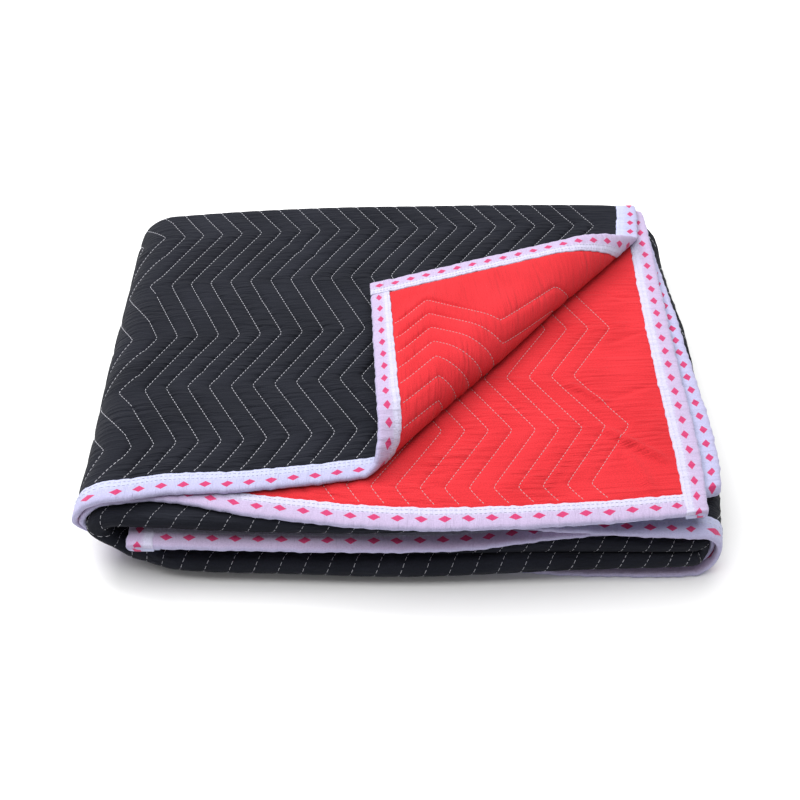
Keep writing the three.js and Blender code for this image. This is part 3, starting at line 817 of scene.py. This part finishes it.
def bump_node(tree, height, strength, distance, normal=None):
    bump = tree.nodes.new("ShaderNodeBump")
    bump.inputs["Strength"].default_value = strength
    bump.inputs["Distance"].default_value = distance
    tree.links.new(height, bump.inputs["Height"])
    if normal is not None:
        tree.links.new(normal, bump.inputs["Normal"])
    return bump.outputs["Normal"]


def uv_parts(tree, layer):
    """The two places of a UV layer, each as a value."""
    uv = tree.nodes.new("ShaderNodeUVMap")
    uv.uv_map = layer
    parts = tree.nodes.new("ShaderNodeSeparateXYZ")
    tree.links.new(uv.outputs["UV"], parts.inputs["Vector"])
    return parts.outputs["X"], parts.outputs["Y"]


def wave_node(tree, value, rate):
    return math_node(tree, "SINE", math_node(tree, "MULTIPLY", value, rate), 0.0)


def away_node(tree, value, centre):
    """Distance of a value from a centre."""
    return math_node(tree, "ABSOLUTE", math_node(tree, "SUBTRACT", value, centre), 0.0)


def weave_height(tree, layer):
    """Crossed ribs of a plain weave."""
    across, along = uv_parts(tree, layer)
    rate = 2 * math.pi / (WEAVE_PERIOD_MM * MM)
    return math_node(tree, "MULTIPLY", wave_node(tree, across, rate), wave_node(tree, along, rate))


def cloth_material(name, dark, light, sheen, pucker_depth):
    """Woven cloth with the short puckers that quilting draws across each row."""
    material, tree, shader = new_material(name, 0.88, sheen)
    shade = noise_node(tree, uv_node(tree, "flat", (1, 1, 1)), 14.0, 4.0)
    fibre = noise_node(tree, uv_node(tree, "flat", (1, 1, 1)), 900.0, 2.0)
    colour = ramp_node(tree, shade, [(0.3, dark), (0.7, light)])
    speck = ramp_node(tree, fibre, [(0.25, (0.72, 0.72, 0.72)), (0.75, (1.18, 1.18, 1.18))])
    tree.links.new(mix_node(tree, "MULTIPLY", 1.0, colour, speck), shader.inputs["Base Color"])
    folds = noise_node(tree, uv_node(tree, "quilt", (0.7, 190.0, 1)), 1.0, 2.0)
    patches = noise_node(tree, uv_node(tree, "quilt", (0.35, 22.0, 1)), 1.0, 2.0)
    patchy = ramp_node(tree, patches, [(0.35, (0.25, 0.25, 0.25)), (0.7, (1, 1, 1))])
    normal = bump_node(tree, math_node(tree, "MULTIPLY", folds, patchy), 1.0, pucker_depth)
    normal = bump_node(tree, weave_height(tree, "flat"), 0.25, WEAVE_DEPTH, normal)
    tree.links.new(normal, shader.inputs["Normal"])
    return material


def tape_material(name):
    """Woven tape, whiter along its sewn inner bands, with a plain row of lozenges on each face."""
    material, tree, shader = new_material(name, 0.8, 0.15)
    run, round_edge = uv_parts(tree, "tape")
    across = math_node(tree, "DIVIDE", round_edge, TAPE_ROUND)
    bands = ramp_node(tree, across, TAPE_BANDS)
    cell = math_node(tree, "FRACT", math_node(tree, "DIVIDE", run, LOZENGE_PITCH), 0.0)
    off = away_node(tree, away_node(tree, across, 0.5), LOZENGE_PLACE)
    sloped = math_node(tree, "MULTIPLY", off, LOZENGE_SLOPE)
    reach = math_node(tree, "ADD", away_node(tree, cell, 0.5), sloped)
    mask = ramp_node(tree, reach, [(0.27, (1, 1, 1)), (0.31, (0, 0, 0))])
    marked = mix_node(tree, "MIX", mask, bands, LOZENGE)
    fibre = noise_node(tree, uv_node(tree, "tape", (1, 1, 1)), 700.0, 2.0)
    speck = ramp_node(tree, fibre, [(0.25, (0.84, 0.84, 0.86)), (0.75, (1.06, 1.06, 1.06))])
    tree.links.new(mix_node(tree, "MULTIPLY", 1.0, marked, speck), shader.inputs["Base Color"])
    ribs = wave_node(tree, run, 2 * math.pi / RIB_PITCH)
    rumple = noise_node(tree, uv_node(tree, "tape", (150.0, 34.0, 1)), 1.0, 3.0)
    normal = bump_node(tree, rumple, 1.0, TAPE_RUMPLE)
    normal = bump_node(tree, ribs, 0.3, RIB_DEPTH, normal)
    tree.links.new(normal, shader.inputs["Normal"])
    return material


def thread_material(name, colour):
    material, tree, shader = new_material(name, 0.65, 0.1)
    place_node = tree.nodes.new("ShaderNodeTexCoord")
    fleck = noise_node(tree, place_node.outputs["Object"], 900.0, 1.0)
    dim = tuple(DIM_SHARE * part for part in colour)
    tree.links.new(ramp_node(tree, fleck, [(0.3, dim), (0.7, colour)]), shader.inputs["Base Color"])
    return material


black_cloth = cloth_material("black_cloth", BLACK_DARK, BLACK_LIGHT, 0.02, BLACK_PUCKER)
red_cloth = cloth_material("red_cloth", RED_DARK, RED_LIGHT, 0.05, RED_PUCKER)
binding_tape = tape_material("binding_tape")
thread = thread_material("thread", THREAD)
red_thread_finish = thread_material("red_thread", RED_THREAD)
tape_thread_finish = thread_material("tape_thread", TAPE_THREAD)

# The two quilted faces: fine grid lines where a face shows, a few to each row elsewhere.
# Each run is where it ends and the spacing there.
EDGE_RUNS = ((20, 5), (TAPE_WIDTH + 4, 1.5))
FAR_EDGE = PAD_WIDTH - 28
FINE_END = LEFT_END + 2 * ROW_PITCH
ROW_COUNT = int((PAD_WIDTH - 2 * ROW_START - ZIGZAG_SWING) / ROW_PITCH)
FINE_COUNT = int((FINE_END - ROW_START) / ROW_PITCH)
RED_FINE_COUNT = 12
last_row = ROW_START + ROW_PITCH * ROW_COUNT
black_rows = np.concatenate([
    steps(0, *EDGE_RUNS, (ROW_START, 4))[:-1],
    row_lines(0, FINE_COUNT, ROW_FRACTIONS),
    row_lines(FINE_COUNT, ROW_COUNT - FINE_COUNT, COARSE_FRACTIONS),
    steps(last_row, (FAR_EDGE, 12), (PAD_WIDTH, 4)),
])
black_lines = steps(
    0, *EDGE_RUNS, (V_OUTER_START, 4.6), (V_OUTER_END, 2.7), (930, 30), (V_FRONT_START, 6),
    (V_FRONT_END, 1.3), (1100, 6), (V_INNER_START, 30), (V_INNER_END, 1.1), (PAD_LENGTH, 25),
)
red_fine = row_lines(0, RED_FINE_COUNT, ROW_FRACTIONS)
red_coarse = steps(
    red_fine[-1], (515, 12), (LEFT_END, 4), (1180, 30), (1320, 6), (FAR_EDGE, 30), (PAD_WIDTH, 4),
)
red_rows = np.concatenate([steps(0, *EDGE_RUNS, (ROW_START, 2))[:-1], red_fine, red_coarse[1:]])
red_lines = steps(
    0, *EDGE_RUNS, (V_OUTER_START, 5), (V_OUTER_END, 3.5), (V_FRONT_START, 30),
    (V_FRONT_END, 1.4), (V_INNER_START, 30), (V_INNER_END, 1.4), (1660, 4.2), (PAD_LENGTH - 28, 2.4),
    (PAD_LENGTH - 20, 1.5), (PAD_LENGTH, 5),
)
black_face = panel("black_face", 1, black_rows, black_lines, black_cloth)
red_face = panel("red_face", -1, red_rows, red_lines, red_cloth)

# The four tapes
TAPE_SEEDS = {"start": 11, "end": 23, "free": 37, "inner": 41}
TAPE_NODES = {
    "start": "start_tape",
    "end": "end_tape",
    "free": "free_side_tape",
    "inner": "inner_side_tape",
}
tapes = {edge: tape(edge + "_binding", edge, seed, binding_tape) for edge, seed in TAPE_SEEDS.items()}

# Threads where they show: on the top, round the front and back folds, at the right end,
# and on the red side of the corner
top_rows = range(0, int((LEFT_END - ROW_START) / ROW_PITCH))
all_rows = range(0, ROW_COUNT)
right_rows = range(45, 54)
back_rows = range(len(top_rows), ROW_COUNT)
corner_rows = range(0, RED_FINE_COUNT)
BACK_SHOWN = 42
FRONT_SHOWN = 55
FOLD_THREAD = 0.7
FRONT_FOLD = 2 * QUARTER
PAST_TAPE = TAPE_WIDTH + 2
PAST_OUTER_FOLD = V_OUTER_END + 4
PAST_INNER_FOLD = V_INNER_END + 10


def turned_back(u, v):
    return past_crease(u, v) > 0


black_paths = thread_paths(1, top_rows, PAST_TAPE, PAST_OUTER_FOLD)
black_paths += thread_paths(1, all_rows, FRONT_FOLD - FRONT_SHOWN, FRONT_FOLD + FRONT_SHOWN, FOLD_THREAD)
black_paths += thread_paths(1, right_rows, PAST_TAPE, QUARTER - BACK_SHOWN)
black_paths += thread_paths(1, back_rows, QUARTER - BACK_SHOWN, PAST_OUTER_FOLD)
red_paths = thread_paths(-1, corner_rows, PAST_INNER_FOLD, PAD_LENGTH - PAST_TAPE)
red_paths += thread_paths(-1, corner_rows, PAST_TAPE, V_OUTER_START, keep=turned_back)

# Tape sewing where it shows: edge, side, and from where to where along the edge
SEAM_INSETS = (15.5, 20.5)
SEAM_RUNS = (
    ("start", 1, 0, 700),
    ("start", -1, 0, 420),
    ("start", 1, 1050, 1500),
    ("start", -1, 1050, 1300),
    ("end", -1, 0, 700),
    ("end", -1, 1250, PAD_WIDTH),
    ("free", 1, 380, 520),
    ("free", -1, 0, 470),
    ("free", -1, 1540, PAD_LENGTH),
)
seam_paths = []
for edge, side, s_from, s_to in SEAM_RUNS:
    seam_paths += tape_paths(edge, side, TAPE_SEEDS[edge], s_from, s_to, SEAM_INSETS)
black_thread = stitches("black_side_thread", black_paths, thread)
red_thread = stitches("red_side_thread", red_paths, red_thread_finish)
tape_thread = stitches("tape_thread", seam_paths, tape_thread_finish)

# What each piece is, and what it stands for
pieces = [black_face, red_face, *tapes.values(), black_thread, red_thread, tape_thread]
for piece in pieces:
    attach(piece, "root")
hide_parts("black_panel")
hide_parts("red_panel")
for edge, piece in tapes.items():
    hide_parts(TAPE_NODES[edge])

# Floor
FLOOR_HALF = 6.0
FLOOR_GAP_MM = 0.2
FLOOR_COLOUR = (0.92, 0.92, 0.92, 1)
floor_points = np.array([[-1, -1, 0], [1, -1, 0], [1, 1, 0], [-1, 1, 0]]) * FLOOR_HALF / MM
floor_points[:, 2] = -FLOOR_GAP_MM
floor_material = new_material("pale_floor", 0.9, 0.0)[0]
floor_shader = floor_material.node_tree.nodes["Principled BSDF"]
floor_shader.inputs["Base Color"].default_value = FLOOR_COLOUR
floor = mesh_object("floor", floor_points, np.array([[0, 1, 2, 3]]), {}, floor_material)

# Light
WORLD_STRENGTH = 0.36
world = bpy.data.worlds.new("studio")
bpy.context.scene.world = world
world.use_nodes = True
background = world.node_tree.nodes["Background"]
background.inputs["Color"].default_value = (1, 1, 1, 1)
background.inputs["Strength"].default_value = WORLD_STRENGTH


def area_light(name, place_m, turn, size, watts):
    lamp = bpy.data.lights.new(name, "AREA")
    lamp.shape = "SQUARE"
    lamp.size = size
    lamp.energy = watts
    holder = bpy.data.objects.new(name, lamp)
    holder.location = place_m
    holder.rotation_euler = turn
    bpy.context.scene.collection.objects.link(holder)


area_light("softbox", (-0.3, 0.7, 3.0), (math.radians(-12), math.radians(-6), 0), 5.0, 200)
area_light("key", (-1.3, 1.2, 1.9), (math.radians(-33), math.radians(-29), 0), 1.0, 32)

# Camera
FOCAL_PIXELS = 1476.8
IMAGE_PIXELS = 800
SENSOR_MM = 36.0
CAMERA_MM = (-6.5, -1230.5, 1080.7)
FRAME_MIDDLE = (MIDDLE_X, MIDDLE_Y, 0)
PITCH = math.radians(41.406)
YAW = math.radians(0.347)
ROLL = math.radians(0.399)
level = math.cos(PITCH)
forward = np.array([math.sin(YAW) * level, math.cos(YAW) * level, -math.sin(PITCH)])
right = np.array([math.cos(YAW), -math.sin(YAW), 0.0])
above = np.cross(right, forward)
turned_right = math.cos(ROLL) * right + math.sin(ROLL) * above
turned_above = -math.sin(ROLL) * right + math.cos(ROLL) * above
lens = bpy.data.cameras.new("camera")
lens.sensor_width = SENSOR_MM
lens.lens = FOCAL_PIXELS * SENSOR_MM / IMAGE_PIXELS
camera = bpy.data.objects.new("camera", lens)
bpy.context.scene.collection.objects.link(camera)
facing = Matrix.Identity(4)
for row in range(3):
    facing[row][0] = turned_right[row]
    facing[row][1] = turned_above[row]
    facing[row][2] = -forward[row]
    facing[row][3] = (CAMERA_MM[row] - FRAME_MIDDLE[row]) * MM
camera.matrix_world = facing
bpy.context.scene.camera = camera
bpy.context.scene.view_settings.view_transform = "Standard"
